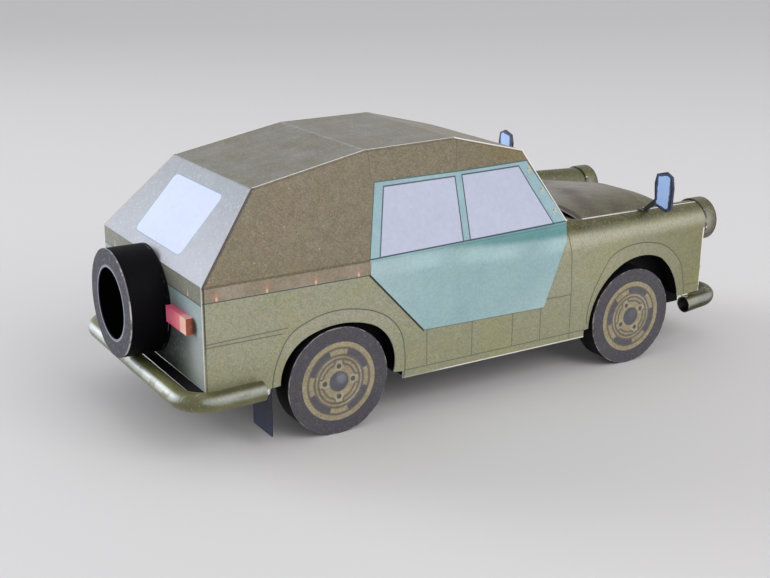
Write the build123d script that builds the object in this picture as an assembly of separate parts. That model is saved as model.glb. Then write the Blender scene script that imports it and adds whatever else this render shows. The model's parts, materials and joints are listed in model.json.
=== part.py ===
from build123d import *
import math
import os

# Printed card model of a small soft-top army car, about 1:25, in millimetres.
# +X is forward, +Y is the car's left and +Z is up, with the origin on the ground
# under the middle of the whole model.

# Card and glue
card = 0.3
glue_gap = 0.03

# Body shell: its half width, and the depth of its drum-shaped spare wheel
body_half = 27.25
panel_behind = 29.45
spare_depth = 8.67

# Wheels and axles
wheelbase = 80.8
wheel_radius = 11.75
wheel_width = 6.0
wheel_proud = 0.92
wheel_outer_half = body_half + wheel_proud
axle_radius = 1.25
axle_running_fit = 0.07
axle_end_gap = 0.05

# Reach of the whole model past its axles
rear_reach = panel_behind + glue_gap + spare_depth
front_reach = 31.65
overall_length = rear_reach + wheelbase + front_reach
rear_axle = rear_reach - overall_length / 2
front_axle = rear_axle + wheelbase

# Headlamps: centre, rim and how far the rim stands ahead of the front axle
lamp_radius = 5.3
lamp_height = 31.35
lamp_half = body_half - lamp_radius
lamp_front_ahead = 27.6
lamp_front = front_axle + lamp_front_ahead
lens_recess = 0.4

# Lower edges of the body
panel_bottom = 15.2
quarter_bottom = 12.9
quarter_end_behind = 16.1
sill_bottom = 8.7
sill_step = 1.7
sill_rear_ahead = 16.35
sill_front_behind = 13.8
nose_bottom = 14.25

# Nose: upright to the lamps' foot, then leaning a little forward to its brow
nose_ahead = 23.3
nose_x = front_axle + nose_ahead
nose_lean = 0.75
brow_x = nose_x + nose_lean
lamp_foot_drop = 0.05
nose_fold_height = lamp_height - lamp_radius - lamp_foot_drop
brow_rise = 0.25
brow_height = lamp_height + lamp_radius + brow_rise
nose_clearance = 0.15

# Belt fold: its height at the tail, over the rear axle and at the windscreen
belt_rear_height = 36.65
belt_middle_height = 36.75
belt_front_height = 38.2

# Canopy folds: ahead of the rear axle, inset from the body's side, height
canopy_folds = [
    (-14.9, 7.7, 52.65),
    (11.4, 8.0, 57.7),
    (34.5, 8.5, 58.15),
    (53.15, 8.5, 53.55),
]
screen_base_ahead = 59.9
screen_base = rear_axle + screen_base_ahead
lean_card = 0.33

# Wheel arches, each three arcs through seven points: angle up from straight ahead
# of the axle, gap to the tyre
rear_arch_angles = [173.9, 143.2, 121.1, 84.4, 52.5, 28.3, -5.5]
rear_arch_gaps = [1.4, 1.5, 0.95, 0.56, 1.9, 2.85, 2.31]
front_arch_angles = [185.8, 144.2, 112.5, 77.6, 52.6, 31.4, 7.6]
front_arch_gaps = [0.75, 0.46, 1.3, 3.15, 4.55, 4.65, 4.59]
rear_arch = list(zip(rear_arch_angles, rear_arch_gaps))
front_arch = list(zip(front_arch_angles, front_arch_gaps))
well_margin = 0.5
well_side_gap = 0.67
well_wall_drop = 1.55
well_inner_half = wheel_outer_half - wheel_width - well_side_gap
axle_lug_radius = 3.0

# Cowl between the windscreen and the hood
cowl_length = 6.5
cowl_lap = 1.2
hood_rear = screen_base + cowl_length

# Wing roll, a cone that is part of the side, from the windscreen's foot to the
# headlamp's ring: its radii, how far its crown at the hood's rear lies below the
# belt's front end, and how far its crown at the nose lies below the ring's
screen_roll_radius = 0.8
hood_roll_radius = 2.4
hood_roll_drop = 0.95
nose_roll_inset = 0.2
nose_roll_drop = 0.45

# The inner roll goes on from the side's own curl to the hood, and tapers to a
# tight fold at the hood's rear; angles are up from level on the outer side
inner_roll_radius = 0.6
curl_end_angle = 82.0
hood_edge_angle = 173.0

# Hood: its middle line's rise over the belt's front end and over the lamp's
# centre, and at four stations its bulge above the straight line between them
hood_overrun = 1.0
hood_front = brow_x + hood_overrun
hood_rear_rise = 0.9
hood_front_rise = 2.5
hood_station_shares = [0.0, 0.44, 0.78, 1.0]
hood_bulges = [0.0, 1.5, 1.55, 0.0]
hood_roll_gap = 0.05

# Floor pan
floor_sill_lift = 0.3
floor_quarter_lift = 0.6
floor_raised = quarter_bottom + floor_quarter_lift
floor_nose_lift = 0.25
floor_nose = nose_bottom + floor_nose_lift

# Bumpers: rods of rolled card, open at their ends, each tilted so that its front
# stands higher than its rear
tube_radius = 2.05
tube_wall = 0.35
tube_bore_depth = 6.0
rear_tube_bend = 6.5
rear_tube_tilt = 1.4
rear_tube_gap = 2.1
rear_tube_behind = panel_behind + tube_radius + rear_tube_gap
rear_tube_height = 13.55
rear_tube_end_behind = 18.0
front_tube_bend = 4.5
front_tube_tilt = 5.5
front_tube_inset = 0.85
front_tube_half = body_half - front_tube_inset
front_tube_drop = 0.3
front_tube_height = nose_bottom - tube_radius - front_tube_drop
front_tube_end_ahead = 19.3

# Spare wheel, standing just clear of the bumper
spare_radius = 11.5
spare_tube_gap = 0.1
spare_height = rear_tube_height + tube_radius + spare_radius + spare_tube_gap
spare_hole_radius = 7.6

# Tail lamps
tail_spare_gap = 1.1
tail_inner_half = spare_radius + tail_spare_gap
tail_outer_inset = 4.55
tail_bottom = 25.85
tail_height = 3.4
tail_depth = 1.6

# Mirrors and their stalks: outboard of the body's side, height over the belt's
# front end
mirror_ahead = 5.6
mirror_card = 0.6
mirror_outline = [
    (0.75, 0.4),
    (0.25, 5.8),
    (0.85, 8.0),
    (3.75, 8.9),
    (5.75, 8.0),
    (6.25, 5.5),
    (6.05, 0.3),
    (4.55, -0.6),
]
stalk_outline = [(0.75, 2.0), (0.75, 0.4), (-2.05, -1.55), (-3.05, -1.2), (-2.25, -0.6)]

# Mud flaps
flap_behind = 15.0
flap_width = 8.5
flap_bottom = 2.2

# Door skins: ahead of the rear axle, height; the ends of the top edge by their
# drop below the belt fold
door_outline = [(8.1, 33.3), (21.5, 19.0), (54.3, 18.4), (60.1, 33.4)]
door_rear_ahead = 8.2
door_rear_drop = 0.65
door_front_behind_screen = 0.15
door_front_drop = 1.0


def plate(outline, y_start, thickness):
    """A flat piece from (x, z) points, from y_start towards +Y."""
    points = [(x, y_start, z) for x, z in outline]
    return extrude(make_face(Polyline(*points, close=True)), amount=thickness, dir=(0, 1, 0))


def cross_face(points):
    """A closed flat face through points in space."""
    return make_face(Polyline(*points, close=True))


def band_face(outer, inner):
    """The flat face between two arcs that run side by side."""
    return Face(Wire([outer, Line(outer @ 1, inner @ 1), inner, Line(outer @ 0, inner @ 0)]))


def folded(faces):
    """Card folded from one cross section to the next."""
    spans = [loft([a, b], ruled=True) for a, b in zip(faces, faces[1:])]
    whole = spans[0]
    for span in spans[1:]:
        whole = whole + span
    return whole


def both_sides(name, right_piece):
    """The right-hand piece and its mirror image."""
    return {name + "_right": right_piece, name + "_left": mirror(right_piece, about=Plane.XZ)}


def between(a, b, x):
    """Value at x on the line through two (x, value) pairs."""
    return a[1] + (b[1] - a[1]) * (x - a[0]) / (b[0] - a[0])


def along(rows, x, column):
    """Value of a table's column at x, straight between its rows."""
    for low, high in zip(rows, rows[1:]):
        if x <= high[0]:
            break
    return between((low[0], low[column]), (high[0], high[column]), x)


panel_x = rear_axle - panel_behind
sill_rear = rear_axle + sill_rear_ahead
sill_front = front_axle - sill_front_behind
inner_half = body_half - card
belt = [
    (panel_x, belt_rear_height),
    (rear_axle + canopy_folds[1][0], belt_middle_height),
    (screen_base, belt_front_height),
]
roof = [(rear_axle + ahead, body_half - inset, height) for ahead, inset, height in canopy_folds]
outer_roll = [
    (screen_base, screen_roll_radius, belt_front_height - screen_roll_radius),
    (hood_rear, hood_roll_radius, belt_front_height - hood_roll_drop - hood_roll_radius),
    (brow_x, lamp_radius - nose_roll_inset, lamp_height - nose_roll_drop + nose_roll_inset),
]
outer_roll = [(x, radius, body_half - radius, height) for x, radius, height in outer_roll]


def arch_points(axle, table, grow=0.0):
    """Points of an arch, its gap to the tyre widened by grow."""
    points = []
    for angle, gap in table:
        reach = wheel_radius + gap + grow
        turn = math.radians(angle)
        points.append((axle + reach * math.cos(turn), wheel_radius + reach * math.sin(turn)))
    return points


def arch_block(axle, table, grow, y_start, y_end, foot=-card):
    """The space of a wheel arch: three arcs with legs down to foot, or closed by a line."""
    points = [(x, y_start, z) for x, z in arch_points(axle, table, grow)]
    first, last = points[0], points[-1]
    arcs = [ThreePointArc(*points[i : i + 3]) for i in (0, 2, 4)]
    legs = Line(last, first)
    if foot is not None:
        legs = Polyline(last, (last[0], y_start, foot), (first[0], y_start, foot), first)
    outline = Wire(arcs + legs.edges())
    return extrude(Face(outline), amount=y_end - y_start, dir=(0, 1, 0))


def roll_point(table, x, angle, depth=0.0):
    """A point of the right wing's roll at x, depth inside its outer surface."""
    radius, centre_half, centre_z = (along(table, x, column) for column in (1, 2, 3))
    turn = math.radians(angle)
    reach = radius - depth
    return (x, -centre_half - reach * math.cos(turn), centre_z + reach * math.sin(turn))


def roll_face(table, x, start_angle, end_angle):
    """Section of a roll's card at x between two angles."""
    angles = (start_angle, (start_angle + end_angle) / 2, end_angle)
    outer, inner = (
        ThreePointArc(*[roll_point(table, x, angle, depth) for angle in angles]) for depth in (0.0, card)
    )
    return band_face(outer, inner)


def inner_roll_table():
    """Rows of the inner roll, tangent to the side's curl where the curl ends."""
    turn = math.radians(curl_end_angle)
    joint = roll_point(outer_roll, hood_rear, curl_end_angle)
    centre_half = -joint[1] - inner_roll_radius * math.cos(turn)
    centre_z = joint[2] - inner_roll_radius * math.sin(turn)
    front = [along(outer_roll, hood_front, column) for column in (1, 2, 3)]
    return [(hood_rear, inner_roll_radius, centre_half, centre_z), (hood_front, *front)]


inner_roll = inner_roll_table()


def hood_middle(x):
    """Height of the hood's middle line at x."""
    share = (x - hood_rear) / (hood_front - hood_rear)
    rear, front = belt_front_height + hood_rear_rise, lamp_height + hood_front_rise
    bulge = along(list(zip(hood_station_shares, hood_bulges)), share, 1)
    return rear + (front - rear) * share + bulge


def hood_face(x):
    """Domed section of the hood at x, its sides at the inner roll's edge."""
    edge = roll_point(inner_roll, x, hood_edge_angle)
    half, edge_z, middle_z = -edge[1] - hood_roll_gap, edge[2], hood_middle(x)
    outer, inner = (
        ThreePointArc((x, -half, edge_z - depth), (x, 0, middle_z - depth), (x, half, edge_z - depth))
        for depth in (0.0, card)
    )
    return band_face(outer, inner)


def past_nose(set_back=0.0):
    """Everything ahead of the raked nose, moved back by set_back."""
    far = brow_x + wheelbase
    high = belt_front_height + body_half
    outline = [
        (nose_x - set_back, 0.0),
        (nose_x - set_back, nose_fold_height),
        (brow_x - set_back, brow_height),
        (brow_x - set_back, high),
        (far, high),
        (far, 0.0),
    ]
    return plate(outline, -wheelbase, 2 * wheelbase)


def side_sheet():
    """One side of the body: flat lower part, leaning canopy part and wing roll."""
    lower = plate(
        [
            (panel_x, panel_bottom),
            (rear_axle - quarter_end_behind, quarter_bottom),
            arch_points(rear_axle, rear_arch)[0],
            (sill_rear, sill_bottom + sill_step),
            (sill_rear, sill_bottom),
            (sill_front, sill_bottom),
            (sill_front, sill_bottom + sill_step),
            arch_points(front_axle, front_arch)[-1],
            (nose_x, nose_bottom),
            (brow_x, nose_bottom),
            *[(x, height) for x, _, _, height in reversed(outer_roll)],
            belt[2],
            belt[1],
            belt[0],
        ],
        -body_half,
        card,
    )
    for axle, table in ((rear_axle, rear_arch), (front_axle, front_arch)):
        lower = lower - arch_block(axle, table, 0.0, -body_half - card, -inner_half + card)

    def lean_face(x, half, height):
        foot = along(belt, x, 1)
        return cross_face(
            [
                (x, -body_half, foot),
                (x, -half, height),
                (x, -half + lean_card, height),
                (x, -body_half + lean_card, foot),
            ]
        )

    upper = folded([lean_face(x, half, height) for x, half, height in roof])
    for corner, (x, half, height) in ((belt[0], roof[0]), (belt[2], roof[-1])):
        triangle = cross_face(
            [
                (corner[0], -body_half, corner[1]),
                (x, -body_half, along(belt, x, 1)),
                (x, -half, height),
            ]
        )
        upper = upper + extrude(triangle, amount=lean_card, dir=(0, 1, 0))
    curl = folded([roll_face(outer_roll, row[0], 0.0, curl_end_angle) for row in outer_roll])
    return lower + upper + curl - past_nose()


def wing_inner_sheet():
    """The inner part of the wing's roll, from the side's curl down to the hood."""
    start_angle = curl_end_angle + math.degrees(glue_gap / inner_roll_radius)
    sections = [roll_face(inner_roll, row[0], start_angle, hood_edge_angle) for row in inner_roll]
    return folded(sections) - past_nose()


def canopy_sheet():
    """The canopy's top: tail slope and three roof facets as one folded strip."""
    outer = [(panel_x, body_half, belt_rear_height)] + roof
    sections = []
    for place, (x, half, height) in enumerate(outer):
        before = outer[max(place - 1, 0)]
        after = outer[min(place + 1, len(outer) - 1)]
        run, rise = after[0] - before[0], after[2] - before[2]
        size = (run**2 + rise**2) ** 0.5
        inner_x, inner_z = x + card * rise / size, height - card * run / size
        if place == 0:
            inner_x, inner_z = x + card * size / rise, height
        edge = half - lean_card - glue_gap
        outside = [(x, -edge, height), (x, edge, height)]
        inside = [(inner_x, edge, inner_z), (inner_x, -edge, inner_z)]
        sections.append(cross_face(outside + inside))
    return folded(sections)


def windscreen_sheet():
    """The flat windscreen between the canopy's front fold and its base."""
    top_x, top_half, top_z = roof[-1]
    run, drop = screen_base - top_x, top_z - belt_front_height
    size = (run**2 + drop**2) ** 0.5
    back, down = card * drop / size, card * run / size
    top_gap, edge_gap = card + 2 * glue_gap, lean_card + glue_gap
    upper_x, upper_z = top_x + top_gap * run / size, top_z - top_gap * drop / size
    upper_half, lower_half = top_half - edge_gap, body_half - edge_gap
    face = cross_face(
        [
            (upper_x, -upper_half, upper_z),
            (upper_x, upper_half, upper_z),
            (screen_base, lower_half, belt_front_height),
            (screen_base, -lower_half, belt_front_height),
        ]
    )
    return extrude(face, amount=card, dir=(-back, 0, -down))


def cowl_sheet():
    """The strip under the windscreen, tucked under both wing rolls and the hood."""
    under = card + glue_gap
    rear_x, lap_x = screen_base + glue_gap, hood_rear + cowl_lap
    tops = [(rear_x, roll_point(outer_roll, rear_x, curl_end_angle, under)[2])]
    tops += [(x, roll_point(inner_roll, x, hood_edge_angle)[2] - under) for x in (hood_rear, lap_x)]
    sections = []
    for x, top in tops:
        half = along(outer_roll, x, 2)
        low = top - card
        sections.append(cross_face([(x, -half, top), (x, half, top), (x, half, low), (x, -half, low)]))
    return folded(sections)


def nose_sheet():
    """The front panel, folded at the lamps' foot, inside the wings and hood."""
    front = [(nose_x, nose_bottom), (nose_x, nose_fold_height), (brow_x, brow_height)]
    ribbon = plate(front + [(x - card, z) for x, z in reversed(front)], -body_half, 2 * body_half)
    lip_x = between((nose_fold_height, nose_x), (brow_height, brow_x), lamp_height + hood_front_rise)
    clear = card + nose_clearance
    angles = (0.0, 90.0, hood_edge_angle)
    wall, crown, hip = (roll_point(outer_roll, lip_x, angle, clear) for angle in angles)
    edge = (lip_x, hip[1], roll_point(inner_roll, lip_x, hood_edge_angle)[2] - clear)
    ridge = (lip_x, 0, hood_middle(lip_x) - clear)
    foot = (lip_x, wall[1], nose_bottom)
    outline = [ThreePointArc(edge, ridge, (edge[0], -edge[1], edge[2]))]
    for side in (1, -1):
        x, middle = lip_x, (lip_x, 0, nose_bottom)
        corner, shoulder, top, end = ((x, side * point[1], point[2]) for point in (foot, wall, crown, edge))
        outline += [Line(middle, corner), Line(corner, shoulder), ThreePointArc(shoulder, top, end)]
    space = extrude(Face(Wire(outline)), amount=brow_x - nose_x + card, dir=(1, 0, 0), both=True)
    return ribbon & space


def floor_sheet():
    """The folded floor, low between the sills and raised over both axles."""
    low = sill_bottom + floor_sill_lift
    line = [
        (panel_x + card, panel_bottom + floor_sill_lift),
        (rear_axle - quarter_end_behind, floor_raised),
        (sill_rear + card, floor_raised),
        (sill_rear + card, low),
        (sill_front - card, low),
        (sill_front - card, floor_raised),
        (arch_points(front_axle, front_arch)[-1][0], floor_nose),
        (nose_x - card, floor_nose),
    ]
    shift = [0, 0, card, card, -card, -card, 0, 0]
    upper = [(x + move, z + card) for (x, z), move in zip(line, shift)]
    half = inner_half - glue_gap
    return plate(line + upper[::-1], -half, 2 * half)


def wheel_well(axle, table):
    """A card well: a strip bent over the wheel and an inner wall with the axle lug."""
    outer_grow = well_margin + card
    wall = -well_inner_half
    outside = -inner_half + glue_gap
    strip = arch_block(axle, table, outer_grow, outside, wall, None)
    strip = strip - arch_block(axle, table, well_margin, outside - card, wall + card)
    inner_wall = arch_block(axle, table, outer_grow, wall, wall + card, wheel_radius - well_wall_drop)
    lug = disc(axle, axle_lug_radius, wall, card)
    hole = axle_rod(axle, axle_radius + axle_running_fit, body_half)
    return strip + inner_wall + lug - hole


def axle_rod(axle, radius, half_length):
    """A round rod across the body at an axle."""
    return Pos(axle, 0, wheel_radius) * Rot(90, 0, 0) * Cylinder(radius, 2 * half_length)


def disc(axle, radius, y_start, thickness, hole=0.0):
    """A card disc on an axle, from y_start towards +Y."""
    shape = Circle(radius) - Circle(hole) if hole else Circle(radius)
    place = Plane(origin=(axle, y_start, wheel_radius), x_dir=(1, 0, 0), z_dir=(0, 1, 0))
    return extrude(place * shape, amount=thickness)


def road_wheel(axle):
    """Tread band, printed outer face and inner disc of a right-hand wheel."""
    outer = -wheel_outer_half
    inner = outer + wheel_width
    band_width = wheel_width - 2 * card
    return {
        "wheel_face": disc(axle, wheel_radius, outer, card),
        "wheel_tread": disc(axle, wheel_radius, outer + card, band_width, wheel_radius - card),
        "wheel_back": disc(axle, wheel_radius, inner - card, card, axle_radius + glue_gap),
    }


def spare_disc(x_start, thickness, hole=0.0):
    """A card disc of the spare wheel, facing along X, from x_start forwards."""
    shape = Circle(spare_radius) - Circle(hole) if hole else Circle(spare_radius)
    place = Plane(origin=(x_start, 0, spare_height), x_dir=(0, 1, 0), z_dir=(1, 0, 0))
    return extrude(place * shape, amount=thickness)


def bumper(end_x, cross_x, half, height, bend, tilt):
    """A rod of rolled card round two corners of the body, bored at its open ends."""
    corners = [(end_x, -half), (cross_x, -half), (cross_x, half), (end_x, half)]
    path = FilletPolyline(*[(x, y, height) for x, y in corners], radius=bend)
    inward = Plane(origin=path @ 0, z_dir=path % 0)
    rod = sweep(inward * Circle(tube_radius), path=path)
    bore = extrude(inward * Circle(tube_radius - tube_wall), amount=tube_bore_depth)
    tube = rod - bore - mirror(bore, about=Plane.XZ)
    return tube.rotate(Axis((cross_x, 0, height), (0, 1, 0)), -tilt)


def lamp_ring():
    """Headlamp ring of the right wing, cut to the raked nose."""
    place = Plane(origin=(nose_x - card, -lamp_half, lamp_height), x_dir=(0, 1, 0), z_dir=(1, 0, 0))
    length = lamp_front - nose_x + card
    ring = extrude(place * (Circle(lamp_radius) - Circle(lamp_radius - card)), amount=length)
    return ring & past_nose(-glue_gap)


def lamp_lens():
    """Flat lens disc set just inside the headlamp ring."""
    start = lamp_front - lens_recess - card
    place = Plane(origin=(start, -lamp_half, lamp_height), x_dir=(0, 1, 0), z_dir=(1, 0, 0))
    return extrude(place * Circle(lamp_radius - card - glue_gap), amount=card)


def tail_lamp():
    """Right tail lamp, a folded card box on the rear panel."""
    width = body_half - tail_outer_inset - tail_inner_half
    middle_x = panel_x - glue_gap - tail_depth / 2
    middle_y = -tail_inner_half - width / 2
    return Pos(middle_x, middle_y, tail_bottom + tail_height / 2) * Box(tail_depth, width, tail_height)


def mirror_piece():
    """Right door mirror and its stalk, cut from doubled card."""
    x = front_axle + mirror_ahead
    pieces = []
    for outline in (mirror_outline, stalk_outline):
        points = [(x, -body_half - outboard, belt_front_height + rise) for outboard, rise in outline]
        pieces.append(extrude(cross_face(points), amount=mirror_card / 2, dir=(1, 0, 0), both=True))
    return pieces[0] + pieces[1]


def mud_flap():
    """Right mud flap, hung from the floor behind the rear wheel."""
    middle_y = -inner_half + glue_gap + flap_width / 2
    height = floor_raised - glue_gap - flap_bottom
    return Pos(rear_axle - flap_behind, middle_y, flap_bottom + height / 2) * Box(card, flap_width, height)


def door_skin():
    """Right door, a second layer of card glued on the side under the belt fold."""
    rear_top = rear_axle + door_rear_ahead
    front_top = screen_base - door_front_behind_screen
    outline = [(rear_top, along(belt, rear_top, 1) - door_rear_drop)]
    outline += [(rear_axle + ahead, height) for ahead, height in door_outline]
    outline += [(front_top, along(belt, front_top, 1) - door_front_drop)]
    return plate(outline, -body_half - card, card)


def rear_panel():
    """The upright rear panel between both sides."""
    half = inner_half - glue_gap
    top = belt_rear_height - glue_gap
    front = panel_x + card
    outline = [(panel_x, panel_bottom), (front, panel_bottom), (front, top), (panel_x, top)]
    return plate(outline, -half, 2 * half)


def build():
    """Every piece of the model by its node name."""
    nodes = both_sides("side", side_sheet())
    nodes["canopy_top"] = canopy_sheet()
    nodes["windscreen"] = windscreen_sheet()
    nodes["cowl"] = cowl_sheet()
    stations = [hood_rear + share * (hood_front - hood_rear) for share in hood_station_shares]
    nodes["hood"] = folded([hood_face(x) for x in stations]) - past_nose()
    nodes.update(both_sides("wing_inner", wing_inner_sheet()))
    nodes["front_panel"] = nose_sheet()
    nodes["rear_panel"] = rear_panel()

    floor = floor_sheet()
    for end, axle, table in (("rear", rear_axle, rear_arch), ("front", front_axle, front_arch)):
        grow = well_margin + card + glue_gap
        space = arch_block(axle, table, grow, -body_half, -well_inner_half + card + glue_gap)
        floor = floor - space - mirror(space, about=Plane.XZ)
        nodes.update(both_sides("wheel_well_" + end, wheel_well(axle, table)))
        nodes["axle_" + end] = axle_rod(axle, axle_radius, wheel_outer_half - card - axle_end_gap)
        for name, piece in road_wheel(axle).items():
            nodes.update(both_sides(name + "_" + end, piece))
    nodes["floor_pan"] = floor

    spare_back = panel_x - glue_gap - card
    spare_rear = rear_axle - rear_reach
    band_width = spare_back - spare_rear - card
    nodes["spare_face"] = spare_disc(spare_rear, card, spare_hole_radius)
    nodes["spare_tread"] = spare_disc(spare_rear + card, band_width, spare_radius - card)
    nodes["spare_back"] = spare_disc(spare_back, card)

    tube_end, tube_x = rear_axle - rear_tube_end_behind, rear_axle - rear_tube_behind
    rear_tube_half = body_half + tube_radius + glue_gap
    place = (rear_tube_half, rear_tube_height, rear_tube_bend, rear_tube_tilt)
    nodes["bumper_rear"] = bumper(tube_end, tube_x, *place)
    tube_end, tube_x = front_axle + front_tube_end_ahead, front_axle + front_reach - tube_radius
    place = (front_tube_half, front_tube_height, front_tube_bend, front_tube_tilt)
    nodes["bumper_front"] = bumper(tube_end, tube_x, *place)

    nodes.update(both_sides("headlamp_ring", lamp_ring()))
    nodes.update(both_sides("headlamp_lens", lamp_lens()))
    nodes.update(both_sides("tail_lamp", tail_lamp()))
    nodes.update(both_sides("mirror", mirror_piece()))
    nodes.update(both_sides("mud_flap", mud_flap()))
    nodes.update(both_sides("door_skin", door_skin()))
    return nodes


os.makedirs("parts", exist_ok=True)
for node, piece in build().items():
    export_step(piece, "parts/" + node + ".step")
    print(node, len(piece.solids()), round(piece.volume, 2))
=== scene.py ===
import json
import math

import bpy
from mathutils import Matrix, Vector

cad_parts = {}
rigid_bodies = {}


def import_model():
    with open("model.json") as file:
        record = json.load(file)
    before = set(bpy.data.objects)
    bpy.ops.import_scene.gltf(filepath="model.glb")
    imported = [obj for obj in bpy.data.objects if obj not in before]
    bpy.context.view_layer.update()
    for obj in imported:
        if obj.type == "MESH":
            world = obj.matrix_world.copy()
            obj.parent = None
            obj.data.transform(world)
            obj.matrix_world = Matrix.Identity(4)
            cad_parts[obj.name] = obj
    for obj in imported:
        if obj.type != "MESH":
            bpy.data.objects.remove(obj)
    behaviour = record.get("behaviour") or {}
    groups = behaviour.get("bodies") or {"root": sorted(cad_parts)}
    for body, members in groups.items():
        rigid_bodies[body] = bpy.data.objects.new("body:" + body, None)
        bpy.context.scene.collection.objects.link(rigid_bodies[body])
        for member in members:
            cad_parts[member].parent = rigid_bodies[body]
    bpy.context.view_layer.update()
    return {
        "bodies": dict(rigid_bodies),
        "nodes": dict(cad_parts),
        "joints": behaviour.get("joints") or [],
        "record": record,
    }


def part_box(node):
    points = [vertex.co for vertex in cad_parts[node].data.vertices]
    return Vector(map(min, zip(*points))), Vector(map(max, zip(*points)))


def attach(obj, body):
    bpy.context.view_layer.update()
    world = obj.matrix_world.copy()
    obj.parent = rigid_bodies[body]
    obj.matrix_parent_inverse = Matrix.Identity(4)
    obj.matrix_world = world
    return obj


# Looks of a printed card model of a small soft-top army car. All prints are drawn
# on the card by procedural materials, in millimetres along the model's own axes.
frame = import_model()
nodes = frame["nodes"]

# Prints are laid out along x from a point 67.35 mm ahead of the rear panel
print_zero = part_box("rear_panel")[0].x * 1000 + 67.35

# Camera, from the photograph's own fit
camera_place = (-0.15279, -0.23178, 0.10738)
camera_azimuth, camera_elevation, camera_roll = -31.895, 17.868, 0.414
camera_lens, sensor_width = 56.75, 36.0

# Folds of the side as (x, z): the belt, and those above it from the tail slope forward.
# The canopy's side starts at body_half from the middle and leans in by canopy_lean for each mm up.
belt = [(-67.35, 36.65), (-26.5, 36.75), (22.0, 38.2)]
tail_fold, roof_fold, front_fold, screen_top = (-52.8, 52.65), (-26.5, 57.7), (-3.4, 58.15), (15.25, 53.55)
body_half, canopy_lean = 27.25, 0.481
axle_x = {"rear": -37.9, "front": 42.9}
axle_z = 11.75

# Printed shapes on the side, as (x, z)
door_frame = [(-29.95, 36.56), (21.95, 38.0), (15.55, 51.3), (-25.6, 51.3)]
windows = [
    [(-27.5, 36.7), (-6.5, 37.2), (-5.42, 50.37), (-23.6, 50.25)],
    [(-4.68, 37.24), (18.3, 37.84), (12.83, 50.45), (-3.56, 50.5)],
]
door_lower = [(-29.8, 33.4), (-16.3, 19.1), (16.3, 18.5), (22.15, 33.4), (21.9, 38.2), (-29.8, 36.6)]
door_rear, door_front, window_sill = -29.9, 22.2, ((-29.9, 36.6), (21.9, 38.02))
band_bottom, band_top = 33.25, 36.2
sill_bottom, nose_print = 8.7, 65.92
seams = [
    ((-67.0, 24.91), (-49.14, 25.24)),
    ((-67.0, 24.24), (-50.39, 24.22)),
    ((-15.5, 18.9), (-15.45, 10.6)),
    ((-3.5, 18.6), (-3.45, 10.6)),
    ((7.75, 18.5), (7.75, 10.6)),
    ((15.8, 18.4), (15.82, 10.6)),
    ((-21.2, 10.48), (29.2, 10.48)),
    ((17.3, 20.1), (24.6, 20.02)),
    ((22.1, 35.6), (23.1, 33.9)),
    ((23.1, 33.9), (24.2, 30.0)),
    ((24.2, 30.0), (24.62, 21.5)),
    ((24.62, 21.5), (24.64, 8.7)),
    ((60.9, 16.55), (65.9, 16.45)),
]
arch_lines = {
    "rear": [(-8, 16.8), (10, 17.0), (26, 17.48), (39, 17.22), (56, 16.31), (74, 15.46), (93, 15.23),
             (114, 15.47), (132, 15.95), (148, 15.41), (170, 14.98), (180, 14.9)],
    "front": [(-8, 18.3), (8, 18.39), (21, 18.72), (33, 19.51), (45, 19.45), (57, 19.15), (71, 18.37),
              (89, 17.69), (109, 17.11), (125, 15.32), (145, 13.89), (180, 13.1)],
}
canopy_seams = [((-25.8, 57.9), (-26.3, 51.4)), ((-2.9, 58.2), (-4.9, 51.4))]
canopy_crease = ((-51.7, 51.2), (-35.9, 40.6))
window_ticks = [-17.0, -9.5, -0.9, 6.2]
fastener_x = [-64.3, -53.5, -42.6, -32.6]
strap_places = [(15.55, 49.3), (17.6, 44.9), (19.5, 40.3)]
# Painted shadow lines on the side under the door skin's rear and lower edges, and a line along its front
# edge
door_skin_shadows_and_lines = [  # first point, last point, width, ink
    ((-29.8, 33.3), (-16.4, 19.0), 0.75, (62, 62, 44)),
    ((-16.4, 19.0), (16.4, 18.4), 0.4, (104, 112, 104)),
    ((16.4, 18.4), (22.2, 33.4), 0.35, (132, 120, 92)),
]

# Wheels: radii of the printed rings, and the pockets round the bolts
wheel_rub_reach, tyre_inner, slot_reach, slot_half, slot_half_angle = 11.55, 8.64, 6.62, 0.72, 27.0
ring_reaches, arc_reach, pocket_half = [7.3, 5.75, 4.9], 3.9, 1.0
bolt_reach, bolt_radius, hub_radius = 3.35, 0.56, 2.25
wheel_turns = {"rear": 0.0, "front": 27.5}  # degrees by which the wheel's print is turned

# Spare wheel's middle and the radii of its printed rim, its inner edge and its worn edge
spare_height, spare_rim_reach, spare_edge_reach, spare_rub_reach = 27.2, 8.1, 9.0, 11.3

# Printed shapes on the other pieces: (out, z) on the windscreen, the panels, the mirrors and the lamps,
# and (x, out) with a width on the hood
screen_glass = [(-1.0, 40.3), (24.0, 40.3), (17.4, 51.7), (-1.0, 51.7)]
wipers = [((12.0, 39.6), (7.2, 42.7)), ((3.0, 41.3), (11.4, 44.1))]
grille_corners, slat_pitch = [(-1.0, 24.2), (13.2, 24.2), (13.2, 33.0), (-1.0, 33.0)], 1.46
front_marker = (19.6, 22.0, 1.9, 1.1)
panel_band_foot, lamp_height, lamp_split = 32.8, 27.5, 19.7
mirror_glass = [(28.6, 39.1), (32.0, 38.4), (32.4, 38.8), (32.5, 45.9), (31.6, 46.3), (28.7, 45.7)]
headlamp_out, headlamp_height, lens_ring_reach, lens_rib_pitch = 21.95, 31.35, 3.9, 1.1
ring_back, ring_front = 67.2, 70.0
hood_streaks = [((41.0, 5.0), (34.6, 25.5), 4.4), ((48.0, 15.0), (41.0, 25.5), 3.0)]

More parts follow.
